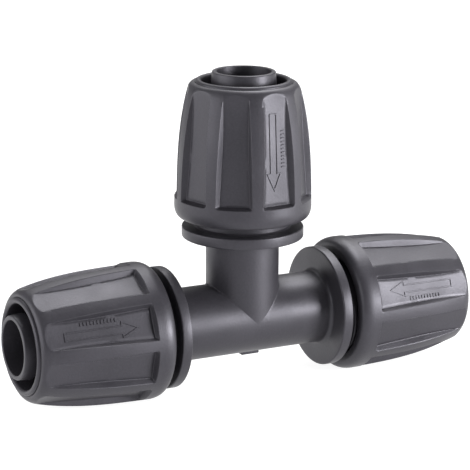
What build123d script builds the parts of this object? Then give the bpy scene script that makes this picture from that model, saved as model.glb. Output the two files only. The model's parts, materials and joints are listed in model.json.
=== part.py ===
"""Equal tee hose fitting: one moulded tee, three screw lock nuts, three split clamp rings.

Frame: millimetres, +Z up. The origin is under the middle of the run, level with the lowest point
of the nuts. The run lies along X, the branch points up along Z.
Along every arm, distances are measured outward from the point where the run and branch axes cross.
"""

from build123d import *
import math
import os

os.makedirs("parts", exist_ok=True)

# ---- driving dimensions -------------------------------------------------------------------------
HOSE_BORE = 13.0  # inside diameter of the hose that the fitting takes
HOSE_OUTER = 16.0  # outside diameter of that hose

NUT_RADIUS = 13.65  # largest radius of a lock nut, at its base ring
RUN_HEIGHT = NUT_RADIUS  # height of the run axis above the surface the nuts lie on
OVERRUN = 1.0  # how far a solid runs on past the face where it joins or cuts another

FLOW_RADIUS = 5.4  # waterway through every arm
TUBE_RADIUS = 7.3  # outside of the plain tube between the collars
COLLAR_RADIUS = 12.15
COLLAR_START = 16.85
COLLAR_END = 19.0
COLLAR_CHAMFER = 0.25
COLLAR_ROOT_FILLET = 0.7
RUN_SPIGOT_END = 49.4  # tip of a run spigot, which the hose is pushed over
BRANCH_SPIGOT_END = 50.0  # the branch spigot is a little longer
BRANCH_NUT_SHIFT = 0.3  # the branch nut, its ring and its thread stand this much further out

SLEEVE_END = 31.5  # end of the threaded sleeve behind the spigot
SLEEVE_CHAMFER = 0.3
HOSE_SOCKET_RADIUS = HOSE_OUTER / 2 + 0.4  # annular seat for the end of the hose
HOSE_SOCKET_FLOOR = 28.0
SPIGOT_LAND_RADIUS = HOSE_BORE / 2 + 0.05  # plain press land at the root of the spigot
SPIGOT_LAND_END = 34.0
LAND_TAPER = 0.4  # axial length of the step down from the land to the barb roots
BARB_CREST_RADIUS = HOSE_BORE / 2
BARB_ROOT_RADIUS = 6.1
BARB_PITCH = 3.6
BARB_COUNT = 4
BARB_RISE = 0.5  # axial length of a barb's steep back
TIP_CREST_SETBACK = 2.6  # last crest, behind the tip
TIP_CORNER_RADIUS = 6.3  # where the taper from the last crest meets the rounded tip
TIP_ROUND = 0.3

THREAD_PITCH = 2.5
THREAD_DEPTH = 1.0
THREAD_ROOT_WIDTH = 1.3  # axial width of a ridge where it leaves its wall
THREAD_CREST_WIDTH = 0.7
THREAD_EMBED = 0.25  # how far a ridge is buried in its wall
THREAD_START = 20.9  # middle of the ridge on the sleeve where it starts
MALE_TURNS = 3.8
FEMALE_TURNS = 3.5
MALE_ROOT_RADIUS = 9.3
FEMALE_WALL_RADIUS = MALE_ROOT_RADIUS + THREAD_DEPTH + 0.35

NUT_BASE = 20.6  # rest position: a run nut is backed off from its collar by 1.6 mm
NUT_END = 48.15
NUT_BASE_FACE_RADIUS = 12.1
NUT_CORNER_LENGTH = 2.5  # rounded corner between the base face and the widest point
NUT_CORNER_MIDDLE = (13.3, 21.65)  # (radius, distance) halfway round that corner
NUT_CORNER_START = (1, 0.2)  # direction in which that corner leaves the base face
BARREL_RADII = ((31.0, 13.43), (37.8, 12.9), (44.2, 11.72))  # (distance, radius) along the ribs
BARREL_END = (-0.26, 1)  # direction of the outline where the shoulder begins
SHOULDER_MIDDLE = (10.75, 46.75)  # (radius, distance) halfway round the shoulder into the lip
LIP_CREST_RADIUS = 9.15
MOUTH_RADIUS = HOSE_OUTER / 2 + 0.37
MOUTH_EDGE_DEPTH = 0.8  # axial height of the rounded inner edge of the lip
RING_SEAT_RADIUS = 9.75
RETAINING_LIP_RADIUS = 9.45
RETAINING_LIP_WIDTH = 0.35
RETAINING_LIP_SLOPE = 0.5  # axial length of the slope from that lip to the thread's wall
RING_END_GAP = 0.15  # axial play of the ring behind the retaining lip
THREAD_LEAD_IN = 0.5
CONE_START = 37.5
CONE_END = 43.5
CONE_END_RADIUS = 8.95
MOUTH_STEP = 0.6  # axial length of the step from the cone to the mouth

GRIP_COUNT = 9  # recessed finger panels around each nut
PANEL_BASE = 24.7  # squared ledge at the collar end of a panel
PANEL_FADE = 46.5  # where the panel floor runs out into the lip
PANEL_BASE_WIDTH = 7.2
PANEL_FADE_WIDTH = 5.3
PANEL_FLOOR_BASE = 12.3  # distance of the flat floor from the nut's axis, at the ledge
PANEL_FLOOR_FADE = 10.95

RING_START = 32.95
RING_WALL_INNER = HOSE_OUTER / 2 + 0.2
RING_RUNNING_GAP = 0.06  # ring to nut, radially
RING_END = 43.0
RING_SPLIT = 1.6
RING_TOOTH_HEIGHT = 0.12
RING_TOOTH_BASE = 1.2  # axial length of a gripping tooth at its root
RING_TOOTH_TIP = 0.2
RING_TEETH = (38.0, 40.8)  # start of each tooth's tip
RING_CHAMFER = 0.2

GATE_PAD_LENGTH = 3.9  # moulding gate under the run, along X
GATE_PAD_WIDTH = 2.4
GATE_PAD_HEIGHT = 0.6
GATE_PAD_OFFSET = 1.4  # along X, from the branch axis

# ---- the three arms -----------------------------------------------------------------------------
CROSSING = Vector(0, 0, RUN_HEIGHT)


def arm_plane(outward, level, quarter_turn, panel_angle):
    """Plane at the crossing with Z outward and X towards the middle of one finger panel of the nut.

    panel_angle is measured from the level direction towards the quarter_turn direction.
    """
    turn = math.radians(panel_angle)
    to_panel = Vector(*level) * math.cos(turn) + Vector(*quarter_turn) * math.sin(turn)
    return Plane(origin=CROSSING, x_dir=to_panel, z_dir=outward)


ARMS = {
    "left": arm_plane((-1, 0, 0), (0, 1, 0), (0, 0, 1), 156.5),
    "right": arm_plane((1, 0, 0), (0, 1, 0), (0, 0, 1), 159.5),
    "branch": arm_plane((0, 0, 1), (1, 0, 0), (0, 1, 0), -85.0),
}
SPIGOT_ENDS = {"left": RUN_SPIGOT_END, "right": RUN_SPIGOT_END, "branch": BRANCH_SPIGOT_END}
NUT_PLANES = dict(ARMS, branch=ARMS["branch"].offset(BRANCH_NUT_SHIFT))


def thread_ridge(wall_radius, height, start, turns):
    """Right-hand helical ridge about Z: outward of its wall when height is positive, else inward."""
    outward = math.copysign(1, height)
    buried = wall_radius - outward * THREAD_EMBED
    crest = wall_radius + height
    flare = (THREAD_ROOT_WIDTH - THREAD_CREST_WIDTH) * THREAD_EMBED / THREAD_DEPTH
    foot = (THREAD_ROOT_WIDTH + flare) / 2
    top = THREAD_CREST_WIDTH / 2
    with BuildPart() as ridge:
        with BuildLine():
            Helix(THREAD_PITCH, THREAD_PITCH * turns, wall_radius, center=(0, 0, start))
        with BuildSketch(Plane.XZ):
            with BuildLine():
                Polyline(
                    (buried, start - foot),
                    (crest, start - top),
                    (crest, start + top),
                    (buried, start + foot),
                    close=True,
                )
            make_face()
        sweep(is_frenet=True)
    return ridge.part


# ---- tee body -----------------------------------------------------------------------------------
def arm_end(spigot_end):
    """Solid end of one arm, turned about Z: collar, sleeve, hose socket and barbed spigot."""
    last_crest = spigot_end - TIP_CREST_SETBACK
    tip_corner = (TIP_CORNER_RADIUS, spigot_end - TIP_ROUND)
    tip_edge = (TIP_CORNER_RADIUS - TIP_ROUND, spigot_end)
    barbs = [(BARB_ROOT_RADIUS, SPIGOT_LAND_END + LAND_TAPER)]
    for barb in range(BARB_COUNT):
        crest = last_crest - (BARB_COUNT - 1 - barb) * BARB_PITCH
        barbs.append((BARB_ROOT_RADIUS, crest - BARB_RISE))
        barbs.append((BARB_CREST_RADIUS, crest))
    with BuildPart() as end:
        with BuildSketch(Plane.XZ):
            with BuildLine():
                Polyline(
                    (0, COLLAR_START),
                    (COLLAR_RADIUS - COLLAR_CHAMFER, COLLAR_START),
                    (COLLAR_RADIUS, COLLAR_START + COLLAR_CHAMFER),
                    (COLLAR_RADIUS, COLLAR_END - COLLAR_CHAMFER),
                    (COLLAR_RADIUS - COLLAR_CHAMFER, COLLAR_END),
                    (MALE_ROOT_RADIUS, COLLAR_END),
                    (MALE_ROOT_RADIUS, SLEEVE_END - SLEEVE_CHAMFER),
                    (MALE_ROOT_RADIUS - SLEEVE_CHAMFER, SLEEVE_END),
                    (HOSE_SOCKET_RADIUS, SLEEVE_END),
                    (HOSE_SOCKET_RADIUS, HOSE_SOCKET_FLOOR),
                    (SPIGOT_LAND_RADIUS, HOSE_SOCKET_FLOOR),
                    (SPIGOT_LAND_RADIUS, SPIGOT_LAND_END),
                    *barbs,
                    tip_corner,
                )
                RadiusArc(tip_corner, tip_edge, -TIP_ROUND)
                Polyline(tip_edge, (0, spigot_end), (0, COLLAR_START))
            make_face()
        revolve(axis=Axis.Z)
    return end.part


arm_ends = {side: arm_end(SPIGOT_ENDS[side]) for side in ARMS}
male_thread = thread_ridge(MALE_ROOT_RADIUS, THREAD_DEPTH, THREAD_START, MALE_TURNS)

with BuildPart() as tee_body:
    tube_end = COLLAR_START + OVERRUN
    with Locations(ARMS["right"].location):
        Cylinder(TUBE_RADIUS, 2 * tube_end)
    with Locations(ARMS["branch"].location):
        Cylinder(TUBE_RADIUS, tube_end, align=(Align.CENTER, Align.CENTER, Align.MIN))
    for side, arm in ARMS.items():
        with Locations(arm.location):
            add(arm_ends[side])
        with Locations(NUT_PLANES[side].location):
            add(male_thread)
    collar_roots = [
        edge
        for edge in tee_body.edges().filter_by(GeomType.CIRCLE)
        if math.isclose(edge.radius, TUBE_RADIUS, abs_tol=1e-6)
    ]
    fillet(collar_roots, COLLAR_ROOT_FILLET)
    with Locations(CROSSING + Vector(GATE_PAD_OFFSET, 0, -TUBE_RADIUS - GATE_PAD_HEIGHT)):
        Box(
            GATE_PAD_LENGTH,
            GATE_PAD_WIDTH,
            GATE_PAD_HEIGHT + OVERRUN,
            align=(Align.CENTER, Align.CENTER, Align.MIN),
        )
    bore_end = BRANCH_SPIGOT_END + OVERRUN
    with Locations(ARMS["right"].location):
        Cylinder(FLOW_RADIUS, 2 * bore_end, mode=Mode.SUBTRACT)
    with Locations(ARMS["branch"].location):
        Cylinder(
            FLOW_RADIUS,
            bore_end,
            align=(Align.CENTER, Align.CENTER, Align.MIN),
            mode=Mode.SUBTRACT,
        )
tee_body.part.label = "tee_body"
export_step(tee_body.part, "parts/tee_body.step")


# ---- lock nut -----------------------------------------------------------------------------------
# Its ridge starts half a pitch further out, so that it runs midway between the turns on the sleeve.
female_thread = thread_ridge(
    FEMALE_WALL_RADIUS,
    -THREAD_DEPTH,
    THREAD_START + THREAD_PITCH / 2,
    FEMALE_TURNS,
)


def nut_shell():
    """Barrel-shaped wall of the nut, revolved from its closed half section about Z."""
    widest = (NUT_RADIUS, NUT_BASE + NUT_CORNER_LENGTH)
    shoulder = (BARREL_RADII[-1][1], BARREL_RADII[-1][0])
    lip_crest = (LIP_CREST_RADIUS, NUT_END)
    mouth_edge = (MOUTH_RADIUS, NUT_END - MOUTH_EDGE_DEPTH)
    seat_end = RING_START - RING_END_GAP
    lip_top = seat_end - RING_END_GAP
    lip_bottom = lip_top - RETAINING_LIP_WIDTH
    with BuildSketch(Plane.XZ) as wall:
        with BuildLine():
            Line((FEMALE_WALL_RADIUS + THREAD_LEAD_IN, NUT_BASE), (NUT_BASE_FACE_RADIUS, NUT_BASE))
            Spline(
                (NUT_BASE_FACE_RADIUS, NUT_BASE),
                NUT_CORNER_MIDDLE,
                widest,
                tangents=(NUT_CORNER_START, (0, 1)),
            )
            Spline(
                widest,
                *[(radius, distance) for distance, radius in BARREL_RADII],
                tangents=((0, 1), BARREL_END),
            )
            ThreePointArc(shoulder, SHOULDER_MIDDLE, lip_crest)
            RadiusArc(lip_crest, mouth_edge, -MOUTH_EDGE_DEPTH)
            Polyline(
                mouth_edge,
                (MOUTH_RADIUS, CONE_END + MOUTH_STEP),
                (CONE_END_RADIUS, CONE_END),
                (RING_SEAT_RADIUS, CONE_START),
                (RING_SEAT_RADIUS, seat_end),
                (RETAINING_LIP_RADIUS, lip_top),
                (RETAINING_LIP_RADIUS, lip_bottom),
                (FEMALE_WALL_RADIUS, lip_bottom - RETAINING_LIP_SLOPE),
                (FEMALE_WALL_RADIUS, NUT_BASE + THREAD_LEAD_IN),
                (FEMALE_WALL_RADIUS + THREAD_LEAD_IN, NUT_BASE),
            )
        make_face()
    revolve(wall.sketch, axis=Axis.Z)


def panel_cutter():
    """Solid that cuts one finger panel, on the +X side: its floor is flat, and leans in to the lip."""
    reach = NUT_RADIUS + OVERRUN
    with BuildPart() as cutter:
        with BuildSketch(Plane.XZ):
            with BuildLine():
                Polyline(
                    (PANEL_FLOOR_BASE, PANEL_BASE),
                    (PANEL_FLOOR_FADE, PANEL_FADE),
                    (reach, PANEL_FADE),
                    (reach, PANEL_BASE),
                    close=True,
                )
            make_face()
        extrude(amount=PANEL_BASE_WIDTH, both=True)
        with BuildSketch(Plane.YZ):
            with BuildLine():
                Polyline(
                    (-PANEL_BASE_WIDTH / 2, PANEL_BASE),
                    (PANEL_BASE_WIDTH / 2, PANEL_BASE),
                    (PANEL_FADE_WIDTH / 2, PANEL_FADE),
                    (-PANEL_FADE_WIDTH / 2, PANEL_FADE),
                    close=True,
                )
            make_face()
        extrude(amount=reach, mode=Mode.INTERSECT)
    return cutter.part


finger_panel = panel_cutter()

with BuildPart() as lock_nut:
    nut_shell()
    add(female_thread)
    with PolarLocations(0, GRIP_COUNT):
        add(finger_panel, mode=Mode.SUBTRACT)


# ---- clamp ring ---------------------------------------------------------------------------------
with BuildPart() as clamp_ring:
    outer = RING_SEAT_RADIUS - RING_RUNNING_GAP
    crest = RING_WALL_INNER - RING_TOOTH_HEIGHT
    flank = (RING_TOOTH_BASE - RING_TOOTH_TIP) / 2
    with BuildSketch(Plane.XZ):
        with BuildLine():
            bore_line = [(RING_WALL_INNER, RING_START + 2 * RING_CHAMFER)]
            for tooth in RING_TEETH:
                bore_line.append((RING_WALL_INNER, tooth - flank))
                bore_line.append((crest, tooth))
                bore_line.append((crest, tooth + RING_TOOTH_TIP))
                bore_line.append((RING_WALL_INNER, tooth + RING_TOOTH_TIP + flank))
            Polyline(
                *bore_line,
                (RING_WALL_INNER, RING_END - RING_CHAMFER),
                (RING_WALL_INNER + RING_CHAMFER, RING_END),
                (CONE_END_RADIUS, RING_END),
                (outer, CONE_START),
                (outer, RING_START + RING_CHAMFER),
                (outer - RING_CHAMFER, RING_START),
                (RING_WALL_INNER + 2 * RING_CHAMFER, RING_START),
                close=True,
            )
        make_face()
    revolve(axis=Axis.Z)
    with Locations((0, 0, RING_START - OVERRUN)):
        Box(
            NUT_RADIUS,
            RING_SPLIT,
            RING_END - RING_START + 2 * OVERRUN,
            align=(Align.MIN, Align.CENTER, Align.MIN),
            mode=Mode.SUBTRACT,
        )


# ---- nuts and rings in place --------------------------------------------------------------------
for side, nut_plane in NUT_PLANES.items():
    with BuildPart() as placed_nut:
        with Locations(nut_plane.location):
            add(lock_nut.part)
    placed_nut.part.label = side + "_nut"
    export_step(placed_nut.part, "parts/" + side + "_nut.step")

    with BuildPart() as placed_ring:
        with Locations(nut_plane.location):
            add(clamp_ring.part)
    placed_ring.part.label = side + "_clamp_ring"
    export_step(placed_ring.part, "parts/" + side + "_clamp_ring.step")
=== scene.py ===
"""Looks of the tee hose fitting: one charcoal plastic tee, three ribbed lock nuts, three clamp rings."""

import json
import math

import bmesh
import bpy
from mathutils import Matrix, Vector


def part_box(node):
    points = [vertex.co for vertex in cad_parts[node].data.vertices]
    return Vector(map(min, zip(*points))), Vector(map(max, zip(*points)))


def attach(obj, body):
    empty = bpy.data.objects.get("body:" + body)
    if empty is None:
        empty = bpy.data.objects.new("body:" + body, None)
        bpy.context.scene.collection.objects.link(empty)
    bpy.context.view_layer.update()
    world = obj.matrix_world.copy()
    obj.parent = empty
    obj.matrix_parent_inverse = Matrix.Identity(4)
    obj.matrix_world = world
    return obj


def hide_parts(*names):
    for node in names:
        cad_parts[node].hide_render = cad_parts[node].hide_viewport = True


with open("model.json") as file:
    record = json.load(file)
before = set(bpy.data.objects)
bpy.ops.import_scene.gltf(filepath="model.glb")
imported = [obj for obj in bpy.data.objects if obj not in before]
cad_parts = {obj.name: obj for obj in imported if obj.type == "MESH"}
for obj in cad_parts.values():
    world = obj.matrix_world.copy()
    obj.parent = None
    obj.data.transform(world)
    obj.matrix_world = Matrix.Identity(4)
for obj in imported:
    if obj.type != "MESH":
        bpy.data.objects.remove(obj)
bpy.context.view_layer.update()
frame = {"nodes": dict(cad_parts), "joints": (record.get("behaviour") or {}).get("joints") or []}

# The object is drawn in millimetres, and a matrix scales it to metres.
MM = 0.001
MERGE_SKIN = 0.002 * MM  # points of the tee's crossing tubes and arms that lie this close are one
MERGE_SMALL = 0.0001 * MM


# ---- the arms, from the frame -------------------------------------------------------------------
def hinge_named(name):
    """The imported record's joint of that name."""
    return next(j for j in frame["joints"] if j["name"] == name)


RUN_HEIGHT = hinge_named("left_nut_turn")["pos_m"][2]
CROSSING = Vector((0, 0, RUN_HEIGHT))


def arm_matrix(side, level, quarter_turn, panel_angle):
    """Places a piece modelled in millimetres about Z, with its marked panel on +X, on one arm."""
    outward = Vector(hinge_named(side + "_nut_turn")["axis"])
    turn = math.radians(panel_angle)
    to_panel = Vector(level) * math.cos(turn) + Vector(quarter_turn) * math.sin(turn)
    across = outward.cross(to_panel)
    turned = Matrix((to_panel, across, outward)).transposed().to_4x4()
    return Matrix.Translation(CROSSING) @ turned @ Matrix.Scale(MM, 4)


# The angle to each marked panel is measured on the picture.
ARMS = {
    "left": arm_matrix("left", (0, 1, 0), (0, 0, 1), 156.5),
    "right": arm_matrix("right", (0, 1, 0), (0, 0, 1), 159.5),
    "branch": arm_matrix("branch", (1, 0, 0), (0, 1, 0), -85.0),
}


def reach_along(node, side):
    """Least and greatest distance in millimetres of a node from the crossing, along one arm."""
    outward = Vector(hinge_named(side + "_nut_turn")["axis"])
    ends = [(Vector(corner) - CROSSING).dot(outward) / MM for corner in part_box(node)]
    return min(ends), max(ends)


NUT_BASE = 20.6  # where the base of a nut is drawn; the branch's nut stands a little further out


def nut_matrix(side):
    """Places a nut or a thread on its arm, as far out as the frame's nut is."""
    return ARMS[side] @ Matrix.Translation((0, 0, reach_along(side + "_nut", side)[0] - NUT_BASE))


# ---- mesh helpers -------------------------------------------------------------------------------
def mesh_piece(name, points, faces, matrix, material):
    """A smooth-shaded piece from points in millimetres, placed by matrix."""
    mesh = bpy.data.meshes.new(name)
    mesh.from_pydata([matrix @ Vector(p) for p in points], [], faces)
    mesh.validate()
    mesh.materials.append(material)
    mesh.polygons.foreach_set("use_smooth", [True] * len(mesh.polygons))
    piece = bpy.data.objects.new(name, mesh)
    bpy.context.scene.collection.objects.link(piece)
    return piece


def grid_faces(rows, columns, close_rows, close_columns):
    """Quads of a grid whose point (row, column) has index row * columns + column."""
    faces = []
    for row in range(rows if close_rows else rows - 1):
        for column in range(columns if close_columns else columns - 1):
            below = row * columns
            above = (row + 1) % rows * columns
            after = (column + 1) % columns
            faces.append((below + column, below + after, above + after, above + column))
    return faces


def arc(centre, radius, start, end, steps):
    """Points (r, s) along a circular arc, angles in degrees from the +r direction."""
    return [
        (
            centre[0] + radius * math.cos(math.radians(start + (end - start) * i / steps)),
            centre[1] + radius * math.sin(math.radians(start + (end - start) * i / steps)),
        )
        for i in range(steps + 1)
    ]


def bezier(p0, p1, p2, p3, steps):
    """Points along a cubic curve, both ends included."""
    points = []
    for i in range(steps + 1):
        t = i / steps
        weights = ((1 - t) ** 3, 3 * t * (1 - t) ** 2, 3 * t * t * (1 - t), t**3)
        points.append(tuple(sum(w * p[k] for w, p in zip(weights, (p0, p1, p2, p3))) for k in (0, 1)))
    return points


def spread(start, end, steps):
    """Evenly spaced values from start to end, both included."""
    return [start + (end - start) * i / steps for i in range(steps + 1)]


def weld(piece, distance):
    """Merges points that lie together and turns every face outward."""
    mesh = bmesh.new()
    mesh.from_mesh(piece.data)
    bmesh.ops.remove_doubles(mesh, verts=mesh.verts, dist=distance)
    bmesh.ops.recalc_face_normals(mesh, faces=mesh.faces)
    mesh.to_mesh(piece.data)
    mesh.free()


def join(piece, parts):
    """Joins parts, piece among them, into piece."""
    with bpy.context.temp_override(active_object=piece, selected_editable_objects=parts, object=piece):
        bpy.ops.object.join()


def sharpen(piece, degrees):
    """Keeps edges above that angle crisp in the shading."""
    piece.data.set_sharp_from_angle(angle=math.radians(degrees))


# ---- materials ----------------------------------------------------------------------------------
SPECULAR_TINT = (0.91, 0.89, 1.0, 1)  # the charcoal plastic's gloss is a little violet
REFRACTIVE_INDEX = 1.5
NOISE_LOW, NOISE_HIGH = 0.3, 0.7  # the part of a noise's range that is stretched to the full range
CLOUD_SCALE, CLOUD_DETAIL = 160, 3  # soft patches
SPECKLE_SCALE, SPECKLE_DETAIL = 2200, 3  # the moulding grain
DARK_PATCH, LIGHT_PATCH = 0.86, 1.14
FLECK = 1.9  # how much lighter the tops of the grain are
FLECK_SHARE = 0.35
GLOSS_SPREAD = 0.05
GRAIN_HEIGHT = 0.035 * MM


def plastic(name, colour, roughness, grain):
    """Charcoal moulded plastic: mottled tone, uneven satin gloss and a fine moulding grain."""
    material = bpy.data.materials.new(name)
    material.use_nodes = True
    nodes = material.node_tree.nodes
    links = material.node_tree.links
    shader = nodes["Principled BSDF"]
    shader.inputs["IOR"].default_value = REFRACTIVE_INDEX
    shader.inputs["Specular Tint"].default_value = SPECULAR_TINT
    coordinates = nodes.new("ShaderNodeTexCoord")

    def noise(scale, detail):
        node = nodes.new("ShaderNodeTexNoise")
        node.inputs["Scale"].default_value = scale
        node.inputs["Detail"].default_value = detail
        links.new(coordinates.outputs["Object"], node.inputs["Vector"])
        return node

    def spread_of(source, low, high):
        node = nodes.new("ShaderNodeMapRange")
        node.inputs["From Min"].default_value = NOISE_LOW
        node.inputs["From Max"].default_value = NOISE_HIGH
        node.inputs["To Min"].default_value = low
        node.inputs["To Max"].default_value = high
        links.new(source, node.inputs["Value"])
        return node

    cloud = noise(CLOUD_SCALE, CLOUD_DETAIL)
    speckle = noise(SPECKLE_SCALE, SPECKLE_DETAIL)
    tone = nodes.new("ShaderNodeMixRGB")
    tone.inputs["Color1"].default_value = [c * DARK_PATCH for c in colour] + [1]
    tone.inputs["Color2"].default_value = [c * LIGHT_PATCH for c in colour] + [1]
    links.new(spread_of(cloud.outputs["Fac"], 0, 1).outputs[0], tone.inputs["Fac"])
    fleck = nodes.new("ShaderNodeMixRGB")
    fleck.inputs["Color2"].default_value = [c * FLECK for c in colour] + [1]
    links.new(spread_of(speckle.outputs["Fac"], 0, FLECK_SHARE).outputs[0], fleck.inputs["Fac"])
    links.new(tone.outputs["Color"], fleck.inputs["Color1"])
    links.new(fleck.outputs["Color"], shader.inputs["Base Color"])
    gloss = spread_of(cloud.outputs["Fac"], roughness - GLOSS_SPREAD, roughness + GLOSS_SPREAD)
    links.new(gloss.outputs[0], shader.inputs["Roughness"])
    bump = nodes.new("ShaderNodeBump")
    bump.inputs["Strength"].default_value = grain
    bump.inputs["Distance"].default_value = GRAIN_HEIGHT
    links.new(speckle.outputs["Fac"], bump.inputs["Height"])
    links.new(bump.outputs["Normal"], shader.inputs["Normal"])
    return material


BODY_PLASTIC = plastic("body_plastic", (0.0180, 0.0170, 0.0205), 0.43, 0.6)
NUT_PLASTIC = plastic("nut_plastic", (0.0185, 0.0175, 0.0212), 0.43, 0.6)
RING_PLASTIC = plastic("ring_plastic", (0.012, 0.012, 0.013), 0.55, 0.4)


# ---- threads ------------------------------------------------------------------------------------
THREAD_PITCH = 2.5
THREAD_START = 20.9
MALE_TURNS = 3.8
FEMALE_TURNS = 3.5
THREAD_HEIGHT = 1.0
THREAD_ROOT_WIDTH = 1.3
THREAD_CREST_WIDTH = 0.7
FEMALE_WALL = 10.65
RIDGE_STEPS = 48  # in one turn
RIDGE_SINK = 0.2  # how deep the foot of a ridge is buried in its wall
RIDGE_FOOT = 0.1  # how much wider the buried foot is, on each side
RIDGE_ROUND = 0.12
RIDGE_TAPER = 10  # steps over which each end rises out of the wall
RIDGE_LEAST = 0.02  # share of its height that a ridge has at its very ends


def helix_ridge(wall, height, start, turns):
    """Closed helical thread ridge about Z whose ends taper into the wall."""
    steps = int(turns * RIDGE_STEPS)
    buried = wall - math.copysign(RIDGE_SINK, height)
    inset = math.copysign(RIDGE_ROUND, height)
    root = THREAD_ROOT_WIDTH / 2
    crest_side = THREAD_CREST_WIDTH / 2
    points = []
    for i in range(steps + 1):
        angle = 2 * math.pi * turns * i / steps
        rise = min(1, i / RIDGE_TAPER, (steps - i) / RIDGE_TAPER)
        share = RIDGE_LEAST + (1 - RIDGE_LEAST) * math.sin(rise * math.pi / 2)
        crest = wall + height * share
        middle = start + THREAD_PITCH * turns * i / steps
        section = [
            (buried, -root - RIDGE_FOOT),
            (wall, -root),
            (crest - inset, -crest_side - RIDGE_ROUND / 2),
            (crest, -crest_side + RIDGE_ROUND),
            (crest, crest_side - RIDGE_ROUND),
            (crest - inset, crest_side + RIDGE_ROUND / 2),
            (wall, root),
            (buried, root + RIDGE_FOOT),
        ]
        for r, s in section:
            points.append((r * math.cos(angle), r * math.sin(angle), middle + s))
    corners = len(section)
    faces = grid_faces(steps + 1, corners, False, True)
    faces.append(tuple(range(corners)))
    faces.append(tuple(range(corners * steps, corners * steps + corners))[::-1])
    if height > 0:
        faces = [f[::-1] for f in faces]
    return points, faces


# ---- tee body -----------------------------------------------------------------------------------
# Distances along an arm are from the crossing, and every radius is about the arm.
SLEEVE_COLUMNS = 96  # facets round every turned surface
TUBE_RADIUS = 7.3
CREASE_FILLET = 0.35  # where the branch grows out of the run
FLOW_RADIUS = 5.4
COLLAR_RADIUS = 12.15
COLLAR_START = 16.85
COLLAR_END = 19.0
COLLAR_EDGE = 0.28
COLLAR_ROOT_FILLET = 0.8
COLLAR_FACE_RADII = (9.4, 11.2)  # rings of points on the collar's flat face towards the crossing
SLEEVE_RADIUS = 9.3
SLEEVE_END = 31.5
SLEEVE_ROOT = 0.4  # how far the slope between sleeve and collar spreads on the collar
SLEEVE_CHAMFER = 0.3
SOCKET_RADIUS = 8.4
SOCKET_FLOOR = 28.0
LAND_RADIUS = 6.55
LAND_END = 34.0
LAND_STEP = 0.4  # length of the slope from the plain land to the barbs
BARB_CREST = 6.5
BARB_ROOT = 6.1
BARB_PITCH = 3.6
BARB_COUNT = 4
BARB_RISE = 0.5
BARB_TOP = ((0.04, -0.1), (0.0, 0.0), (0.02, 0.2))  # drop below the crest, distance along the arm
TIP_CREST_SETBACK = 2.6
TIP_CORNER_RADIUS = 6.3
TIP_ROUND = 0.3
TIP_TAPER = 0.06  # how much wider the tip is at the start of its last taper
TIP_TAPER_LENGTH = 1.0
BORE_EDGE = 0.18
STRAIGHT_STEPS = 8
FILLET_STEPS = 5
GATE_PAD = ((-0.55, -1.2, -7.9), (3.35, 1.2, -6.6))  # lowest and highest corner, from the crossing
GATE_PAD_ROUND = 0.15
BODY_CREASE_ANGLE = 32  # degrees from which an edge is crisp


def arm_profile(spigot_end):
    """Half section (r, s) of one arm, from the root fillet of its collar round to its bore."""
    profile = arc(
        (TUBE_RADIUS + COLLAR_ROOT_FILLET, COLLAR_START - COLLAR_ROOT_FILLET),
        COLLAR_ROOT_FILLET, 180, 90, 6,
    )
    corner = COLLAR_RADIUS - COLLAR_EDGE
    profile += [(r, COLLAR_START) for r in COLLAR_FACE_RADII]
    profile += arc((corner, COLLAR_START + COLLAR_EDGE), COLLAR_EDGE, -90, 0, 5)
    profile += arc((corner, COLLAR_END - COLLAR_EDGE), COLLAR_EDGE, 0, 90, 5)
    profile += [(SLEEVE_RADIUS + SLEEVE_ROOT, COLLAR_END), (SLEEVE_RADIUS, COLLAR_END + SLEEVE_CHAMFER)]
    profile += [(SLEEVE_RADIUS, SLEEVE_END - SLEEVE_CHAMFER), (SLEEVE_RADIUS - SLEEVE_CHAMFER, SLEEVE_END)]
    profile += [(SOCKET_RADIUS, SLEEVE_END), (SOCKET_RADIUS, SOCKET_FLOOR)]
    profile += [(LAND_RADIUS, SOCKET_FLOOR), (LAND_RADIUS, LAND_END), (BARB_ROOT, LAND_END + LAND_STEP)]
    for barb in range(BARB_COUNT):
        crest = spigot_end - TIP_CREST_SETBACK - BARB_PITCH * (BARB_COUNT - 1 - barb)
        profile.append((BARB_ROOT, crest - BARB_RISE))
        profile += [(BARB_CREST - drop, crest + along) for drop, along in BARB_TOP]
    profile.append((TIP_CORNER_RADIUS + TIP_TAPER, spigot_end - TIP_TAPER_LENGTH))
    profile += arc((TIP_CORNER_RADIUS - TIP_ROUND, spigot_end - TIP_ROUND), TIP_ROUND, 5, 90, 5)
    profile += arc((FLOW_RADIUS + BORE_EDGE, spigot_end - BORE_EDGE), BORE_EDGE, 90, 180, 4)
    return profile


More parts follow.
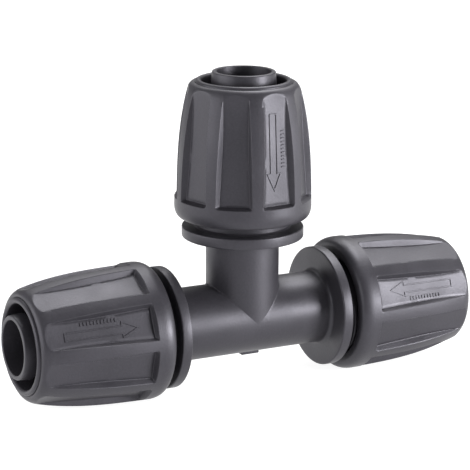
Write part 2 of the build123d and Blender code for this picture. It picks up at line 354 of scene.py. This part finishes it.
def tee_skin(radius, fillet, run_end, branch_end, inward):
    """Points and faces of two crossing tubes of one radius, with a rolled fillet in the crease."""
    half = SLEEVE_COLUMNS // 2
    angles = spread(-math.pi / 2, math.pi / 2, half)
    points, faces = [], []

    def patch(columns):
        start = len(points)
        rows = len(columns[0])
        for column in columns:
            points.extend(column)
        for a, b, c, d in grid_faces(len(columns), rows, False, False):
            quad = (start + a, start + b, start + c, start + d)
            faces.append(quad[::-1] if inward else quad)

    for side in (1, -1):
        columns = []
        for angle in angles:
            reach = (radius + fillet) * math.cos(angle)
            across = radius * math.sin(angle)
            near = radius * math.cos(angle)
            column = [(side * near, across, s) for s in spread(branch_end, reach, STRAIGHT_STEPS)]
            for i in range(1, FILLET_STEPS):
                roll = math.pi / 2 * i / FILLET_STEPS
                inside = fillet * math.cos(roll)
                down = fillet * math.sin(roll)
                x = reach - inside * math.cos(angle)
                z = reach - down * math.cos(angle)
                column.append((side * x, across, z))
            column += [(side * s, across, near) for s in spread(reach, run_end, STRAIGHT_STEPS)]
            columns.append(column if side > 0 else column[::-1])
        patch(columns)
    under = []
    for angle in spread(math.pi / 2, 3 * math.pi / 2, half):
        y = radius * math.sin(angle)
        z = radius * math.cos(angle)
        under.append([(x, y, z) for x in spread(run_end, -run_end, 2 * STRAIGHT_STEPS)])
    patch(under)
    return points, faces


def make_gate_pad(at_crossing):
    """Rounded pad under the run, where the moulding's gate was."""
    (x0, y0, z0), (x1, y1, z1) = GATE_PAD
    corners = [(x, y, z) for z in (z0, z1) for y in (y0, y1) for x in (x0, x1)]
    faces = [(0, 2, 3, 1), (4, 5, 7, 6), (0, 1, 5, 4), (1, 3, 7, 5), (3, 2, 6, 7), (2, 0, 4, 6)]
    pad = mesh_piece("gate_pad", corners, faces, at_crossing, BODY_PLASTIC)
    mesh = bmesh.new()
    mesh.from_mesh(pad.data)
    bmesh.ops.bevel(
        mesh, geom=mesh.edges[:], offset=GATE_PAD_ROUND * MM, segments=3, profile=0.5, affect="EDGES"
    )
    mesh.to_mesh(pad.data)
    mesh.free()
    return pad


def make_tee_body():
    """The visible tee moulding: a watertight skin, with its threads and gate pad."""
    points, faces = [], []

    def take(new_points, new_faces):
        start = len(points)
        points.extend(new_points)
        faces.extend(tuple(start + i for i in face) for face in new_faces)

    for side, level in (("left", (0, 1, 0)), ("right", (0, 1, 0)), ("branch", (1, 0, 0))):
        profile = arm_profile(reach_along("tee_body", side)[1])
        outward = Vector(hinge_named(side + "_nut_turn")["axis"])
        across = outward.cross(Vector(level))
        local = Matrix((Vector(level), across, outward)).transposed().to_4x4()
        ring = []
        for r, s in profile:
            for i in range(SLEEVE_COLUMNS):
                angle = 2 * math.pi * i / SLEEVE_COLUMNS
                ring.append(local @ Vector((r * math.cos(angle), r * math.sin(angle), s)))
        take(ring, grid_faces(len(profile), SLEEVE_COLUMNS, False, True))
    tube_end = COLLAR_START - COLLAR_ROOT_FILLET
    take(*tee_skin(TUBE_RADIUS, CREASE_FILLET, tube_end, tube_end, False))
    run_end = reach_along("tee_body", "right")[1] - BORE_EDGE
    branch_end = reach_along("tee_body", "branch")[1] - BORE_EDGE
    take(*tee_skin(FLOW_RADIUS, 0.0, run_end, branch_end, True))
    at_crossing = Matrix.Translation(CROSSING) @ Matrix.Scale(MM, 4)
    shell = mesh_piece("tee_moulding", points, faces, at_crossing, BODY_PLASTIC)
    weld(shell, MERGE_SKIN)
    parts = [shell]
    for side in ARMS:
        ridge = helix_ridge(SLEEVE_RADIUS, THREAD_HEIGHT, THREAD_START, MALE_TURNS)
        parts.append(mesh_piece("thread_" + side, *ridge, nut_matrix(side), BODY_PLASTIC))
        weld(parts[-1], MERGE_SMALL)
    parts.append(make_gate_pad(at_crossing))
    join(shell, parts)
    sharpen(shell, BODY_CREASE_ANGLE)
    return shell


# ---- lock nut -----------------------------------------------------------------------------------
NUT_END = 48.15
NUT_RADIUS = 13.65
BASE_FACE_RADIUS = 12.1
BASE_CORNER_TOP = 23.1
BASE_CORNER_HANDLES = (13.2, 21.7)  # radius and distance that the rounded base corner bends towards
BARREL_SLOPE = 0.0185
BARREL_CURVE = 0.00016
LIP_START = 45.6
LIP_CREASE = (9.72, 47.58)  # (radius, distance) of the crease under the rounded bead of the lip
LIP_BEAD_RADIUS = 0.6
MOUTH_RADIUS = 8.37
PANEL_COUNT = 9
PANEL_BASE = 24.7
PANEL_FADE = 46.5  # where the floor's slope and the panel's narrowing are complete
PANEL_FLOOR = 12.3  # from the nut's axis, at the panel's base
PANEL_FLOOR_SLOPE = 1.35  # how much nearer the axis the floor is at PANEL_FADE
PANEL_HALF_ANGLE = 15.5  # degrees, at the panel's base
PANEL_NARROWING = 2.2  # degrees, at PANEL_FADE
PANEL_DISH = 0.08  # how much lower the floor is along its middle than at its sides
PANEL_CORNER = 0.6
WALL_DEPTH = 0.95  # depth at a panel's side for which the wall below is drawn
WALL_STRETCH = (0.3, 1.1)  # least and greatest width of the wall, against that drawing

# Section of a panel's wall: distance inside the panel's edge, and share of the full depth there.
WALL = (
    (-0.08, 0.0), (-0.02, 0.05), (0.03, 0.14), (0.35, 0.93), (0.40, 1.0), (0.45, 1.03), (0.51, 1.03),
    (0.57, 1.0),
)
PANEL_SHARES = (0.0, 0.2, 0.4, 0.6, 0.8)  # columns across the floor
RIB_SHARES = (0.3, 0.65, 1.0)  # columns across half a rib
BASE_ROWS = (23.5, 24.0, 24.4)  # rows of points along the nut: below the panels,
PANEL_ROWS = (25.8, 43.6, 28)  # along them (first, last, steps)
UPPER_ROWS = (43.9, LIP_START, 8)  # and at their upper ends
SHOULDER_HANDLES = ((-0.25, 0.95), (0.9, 0.15))  # how the shoulder leaves the barrel and meets the lip
BEAD_START = -5  # degrees
NUT_CREASE_ANGLE = 35  # degrees from which an edge is crisp
NUT_BORE = [  # section points (r, s), from the mouth back to the base face
    (MOUTH_RADIUS, 45.6), (MOUTH_RADIUS, 44.1), (8.95, 43.5),
    (9.75, 37.5), (9.75, 32.8),  # the cone round the clamp ring, and the ring's room
    (9.45, 32.65), (9.45, 32.3),  # the lip that keeps the ring in
    (FEMALE_WALL, 31.8), (FEMALE_WALL, 26.0), (FEMALE_WALL, NUT_BASE + 0.5),
    (FEMALE_WALL + 0.5, NUT_BASE), (BASE_FACE_RADIUS - 0.3, NUT_BASE),
]


def barrel(s):
    """Radius of the nut's outside over its ribs."""
    x = s - BASE_CORNER_TOP
    return NUT_RADIUS - BARREL_SLOPE * x - BARREL_CURVE * x**3


def floor_distance(s):
    """How far the side of the flat floor of a finger panel lies from the nut's axis."""
    return PANEL_FLOOR - PANEL_FLOOR_SLOPE * (s - PANEL_BASE) / (PANEL_FADE - PANEL_BASE)


def panel_half_angle(s):
    """Half the angle that a finger panel takes up."""
    along = (s - PANEL_BASE) / (PANEL_FADE - PANEL_BASE)
    return math.radians(PANEL_HALF_ANGLE - PANEL_NARROWING * min(1, max(0, along)))


def wall_share(inside):
    """Share of a panel's full depth at that distance inside its edge."""
    if inside <= WALL[0][0]:
        return 0.0
    for (x0, y0), (x1, y1) in zip(WALL, WALL[1:]):
        if inside <= x1:
            return y0 + (y1 - y0) * (inside - x0) / (x1 - x0)
    return WALL[-1][1]


def wall_stretch(r, s):
    """Width of a panel's wall at radius r and distance s: a shallow wall is narrow."""
    s = max(s, PANEL_BASE)
    depth = r - floor_distance(s) / math.cos(panel_half_angle(s))
    return min(WALL_STRETCH[1], max(WALL_STRETCH[0], depth / WALL_DEPTH))


def nut_outline():
    """Outer section points (r, s), from the base face over the ribs to the mouth."""
    corner = (barrel(BASE_CORNER_TOP), BASE_CORNER_TOP)
    out, up = BASE_CORNER_HANDLES
    outline = bezier((BASE_FACE_RADIUS, NUT_BASE), (out, NUT_BASE), (corner[0], up), corner, 12)
    stretch = wall_stretch(barrel(PANEL_BASE), PANEL_BASE)
    rows = list(BASE_ROWS) + [PANEL_BASE + inside * stretch for inside, _ in WALL]
    rows += spread(*PANEL_ROWS) + spread(*UPPER_ROWS)
    outline += [(barrel(s), s) for s in rows]
    ends = (outline[-1], LIP_CREASE)
    handles = [(end[0] + r, end[1] + s) for end, (r, s) in zip(ends, SHOULDER_HANDLES)]
    outline += bezier(ends[0], handles[0], handles[1], ends[1], 20)[1:]
    bead_middle = (MOUTH_RADIUS + LIP_BEAD_RADIUS, NUT_END - LIP_BEAD_RADIUS)
    return outline + arc(bead_middle, LIP_BEAD_RADIUS, BEAD_START, 180, 14)


def column_angles(r, s):
    """Angles of the columns from one rib's middle to the next, about a panel's middle."""
    edge = panel_half_angle(s)
    pitch = math.pi / PANEL_COUNT
    unit = wall_stretch(r, s) / r
    inner = edge - WALL[-1][0] * unit
    outer = edge - WALL[0][0] * unit
    half = [inner * share for share in PANEL_SHARES]
    half += [edge - inside * unit for inside, _ in reversed(WALL)]
    half += [outer + (pitch - outer) * share for share in RIB_SHARES]
    return [-angle for angle in reversed(half[1:-1])] + half


def nut_skin_radius(r, s, angle):
    """Outside radius at an angle from a panel's middle, with the panel cut in."""
    stretch = wall_stretch(r, s)
    inside = (panel_half_angle(s) - abs(angle)) * r / stretch
    near, far = sorted((inside, (s - PANEL_BASE) / stretch))
    if far < PANEL_CORNER and near > -PANEL_CORNER:
        near = PANEL_CORNER - math.hypot(PANEL_CORNER - near, PANEL_CORNER - far)
    across = abs(angle) / panel_half_angle(s)
    dish = PANEL_DISH * max(0, 1 - across * across)
    floor = (floor_distance(s) - dish) / math.cos(angle)
    return r - max(0, r - floor) * wall_share(near)


# ---- the raised mark in one panel of each nut ---------------------------------------------------
MARK_ARROW = (  # closed outline (distance along the nut, distance across the panel)
    (28.2, 0.0), (31.4, 1.5), (31.4, 0.75), (43.0, 0.75), (43.0, -0.75), (31.4, -0.75), (31.4, -1.5),
)
MARK_SIDE = -0.45  # across the panel, from its middle to the arrow's middle
MARK_HEIGHT = 0.16
MARK_SINK = 0.1  # how deep its foot is buried in the floor
MARK_STEP = 1.5  # longest straight piece of the arrow, so that it follows the curved floor
MARK_FOOT = 0.17  # half-width of the arrow's bead at the floor
MARK_CREST = 0.09
TICK_ROW = (32.6, 39.6, 11)  # first and last tick along the nut, and how many
TICK_SPAN = (1.25, 2.0)  # across the panel
TICK_HALF = 0.14
TICK_BEVEL = 0.05


def on_floor(s, across, height):
    """Point that far above the dished floor of the marked panel, about the nut's axis on +X."""
    half_width = floor_distance(s) * math.tan(panel_half_angle(s))
    dish = PANEL_DISH * max(0, 1 - (across / half_width) ** 2)
    return (floor_distance(s) - dish + height, across, s)


def raised_loop(outline):
    """Bead that follows a closed outline of (s, across) points, mitred at its corners."""
    points = []
    count = len(outline)
    for i, here in enumerate(outline):
        before = Vector(outline[i - 1])
        after = Vector(outline[(i + 1) % count])
        here = Vector(here)
        into = (here - before).normalized()
        out = (after - here).normalized()
        normal = Vector((-into.y - out.y, into.x + out.x))
        normal *= 1 / normal.dot(Vector((-into.y, into.x)))
        for offset, height in (
            (MARK_FOOT, -MARK_SINK), (MARK_CREST, MARK_HEIGHT),
            (-MARK_CREST, MARK_HEIGHT), (-MARK_FOOT, -MARK_SINK),
        ):
            at = here + normal * offset
            points.append(on_floor(at.x, at.y, height))
    return points, grid_faces(count, 4, True, True)


def raised_tick(s):
    """Small bar across the panel."""
    points = []
    for inset, height in ((-TICK_BEVEL, -MARK_SINK), (TICK_BEVEL, MARK_HEIGHT)):
        for along, across in ((-1, 0), (1, 0), (1, 1), (-1, 1)):
            edge = TICK_SPAN[across] + (inset if across == 0 else -inset)
            points.append(on_floor(s + along * (TICK_HALF - inset), edge, height))
    faces = [(0, 1, 2, 3), (7, 6, 5, 4)]
    faces += [(i, i + 4, (i + 1) % 4 + 4, (i + 1) % 4) for i in range(4)]
    return points, faces


def subdivided(outline, step):
    """The closed outline with more points along its long sides, so that it follows a curved floor."""
    points = []
    for i, here in enumerate(outline):
        after = outline[(i + 1) % len(outline)]
        count = max(1, round(math.dist(here, after) / step))
        for j in range(count):
            points.append(tuple(here[k] + (after[k] - here[k]) * j / count for k in (0, 1)))
    return points


def make_mark(side):
    """Separate closed beads of the mark: an arrow towards the collar and a row of ticks."""
    arrow = subdivided([(s, across + MARK_SIDE) for s, across in MARK_ARROW], MARK_STEP)
    first, last, count = TICK_ROW
    shapes = [raised_loop(arrow)] + [raised_tick(s) for s in spread(first, last, count - 1)]
    parts = []
    for number, (points, faces) in enumerate(shapes):
        name = side + "_mark_" + str(number)
        parts.append(mesh_piece(name, points, faces, nut_matrix(side), NUT_PLASTIC))
        weld(parts[-1], MERGE_SMALL)
    return parts


def make_nut(side):
    """One ribbed lock nut with its thread and its mark."""
    outline = nut_outline()
    section = outline + NUT_BORE
    points = []
    for row, (r, s) in enumerate(section):
        for panel in range(PANEL_COUNT):
            middle = 2 * math.pi * panel / PANEL_COUNT
            for angle in column_angles(r, s):
                radius = nut_skin_radius(r, s, angle) if row < len(outline) else r
                turned = middle + angle
                points.append((radius * math.cos(turned), radius * math.sin(turned), s))
    faces = grid_faces(len(section), len(points) // len(section), True, True)
    nut = mesh_piece(side + "_nut_shell", points, faces, nut_matrix(side), NUT_PLASTIC)
    weld(nut, MERGE_SMALL)
    ridge = helix_ridge(FEMALE_WALL, -THREAD_HEIGHT, THREAD_START + THREAD_PITCH / 2, FEMALE_TURNS)
    thread = mesh_piece(side + "_nut_thread", *ridge, nut_matrix(side), NUT_PLASTIC)
    weld(thread, MERGE_SMALL)
    join(nut, [nut, thread] + make_mark(side))
    sharpen(nut, NUT_CREASE_ANGLE)
    return nut


# ---- build --------------------------------------------------------------------------------------
tee = make_tee_body()
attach(tee, "tee_body")
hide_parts("tee_body")
for side in ARMS:
    nut = make_nut(side)
    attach(nut, side + "_nut")
    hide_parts(side + "_nut")
    ring = frame["nodes"][side + "_clamp_ring"]
    ring.data.materials.clear()
    ring.data.materials.append(RING_PLASTIC)


# ---- camera -------------------------------------------------------------------------------------
# Fitted to the picture, in millimetres and degrees.
CAMERA_ANGLES = (-27.475, 14.553, 0.442)  # azimuth, elevation and roll
CAMERA_TARGET = (-1.678, 0, 16.983)  # from the crossing
CAMERA_DISTANCE = 451.36
CAMERA_LENS = 173.8


def make_camera():
    """Long lens from the front left, a little above the object."""
    azimuth, elevation, roll = (math.radians(angle) for angle in CAMERA_ANGLES)
    back = Vector((
        math.sin(azimuth) * math.cos(elevation),
        -math.cos(azimuth) * math.cos(elevation),
        math.sin(elevation),
    ))
    right = Vector((0, 0, 1)).cross(back).normalized()
    up = back.cross(right)
    turned_right = right * math.cos(roll) + up * math.sin(roll)
    turned_up = up * math.cos(roll) - right * math.sin(roll)
    target = CROSSING + Vector(CAMERA_TARGET) * MM
    data = bpy.data.cameras.new("camera")
    data.lens = CAMERA_LENS
    data.clip_start = 0.01
    data.clip_end = 20
    camera = bpy.data.objects.new("camera", data)
    axes = Matrix((turned_right, turned_up, back)).transposed().to_4x4()
    camera.matrix_world = Matrix.Translation(target + back * CAMERA_DISTANCE * MM) @ axes
    bpy.context.scene.collection.objects.link(camera)
    bpy.context.scene.camera = camera


# ---- floor and light ----------------------------------------------------------------------------
# Lengths here are in metres.
FLOOR_HALF = 4.0  # half the side of the square floor
FLOOR_GREY = (0.3, 0.3, 0.3, 1)
FLOOR_GLOW = 0.9
WORLD_STRENGTH = 0.3
LIGHT_TARGET = (0, 0, 0.015)  # from the crossing
LIGHT_DISTANCE = 0.6


def make_floor():
    """A plain pale floor, lit a little from below like a light table."""
    material = bpy.data.materials.new("floor_paper")
    material.use_nodes = True
    shader = material.node_tree.nodes["Principled BSDF"]
    shader.inputs["Base Color"].default_value = FLOOR_GREY
    shader.inputs["Roughness"].default_value = 0.9
    shader.inputs["Specular IOR Level"].default_value = 0.1
    shader.inputs["Emission Color"].default_value = (1, 1, 1, 1)
    shader.inputs["Emission Strength"].default_value = FLOOR_GLOW
    corners = [(x * FLOOR_HALF, y * FLOOR_HALF, 0) for x, y in ((-1, -1), (1, -1), (1, 1), (-1, 1))]
    mesh = bpy.data.meshes.new("floor")
    mesh.from_pydata(corners, [], [(0, 1, 2, 3)])
    mesh.materials.append(material)
    floor = bpy.data.objects.new("floor", mesh)
    bpy.context.scene.collection.objects.link(floor)


def softbox(name, azimuth, elevation, width, height, radiance):
    """A soft area light of that radiance, which faces the object from that direction."""
    a, e = math.radians(azimuth), math.radians(elevation)
    away = Vector((math.sin(a) * math.cos(e), -math.cos(a) * math.cos(e), math.sin(e)))
    data = bpy.data.lights.new(name, "AREA")
    data.shape = "RECTANGLE"
    data.size = width
    data.size_y = height
    data.energy = radiance * math.pi * width * height
    light = bpy.data.objects.new(name, data)
    light.location = CROSSING + Vector(LIGHT_TARGET) + away * LIGHT_DISTANCE
    light.rotation_euler = away.to_track_quat("Z", "Y").to_euler()
    bpy.context.scene.collection.objects.link(light)


def make_world():
    """Even, dim surroundings."""
    world = bpy.data.worlds.new("studio")
    world.use_nodes = True
    background = world.node_tree.nodes["Background"]
    background.inputs["Color"].default_value = (1, 1, 1, 1)
    background.inputs["Strength"].default_value = WORLD_STRENGTH
    bpy.context.scene.world = world


make_camera()
make_floor()
make_world()
softbox("key_box", 40, 7, 0.212, 0.212, 37.0)
softbox("front_box", 62, 8, 0.56, 0.212, 1.8)
softbox("top_box", 120, 70, 0.255, 0.255, 12.0)
softbox("right_box", 120, 47, 0.51, 0.233, 3.7)
softbox("left_box", -100, 15, 0.69, 0.35, 3.9)
softbox("back_box", 168, 47, 0.40, 0.233, 2.7)
bpy.context.scene.view_settings.view_transform = "Standard"
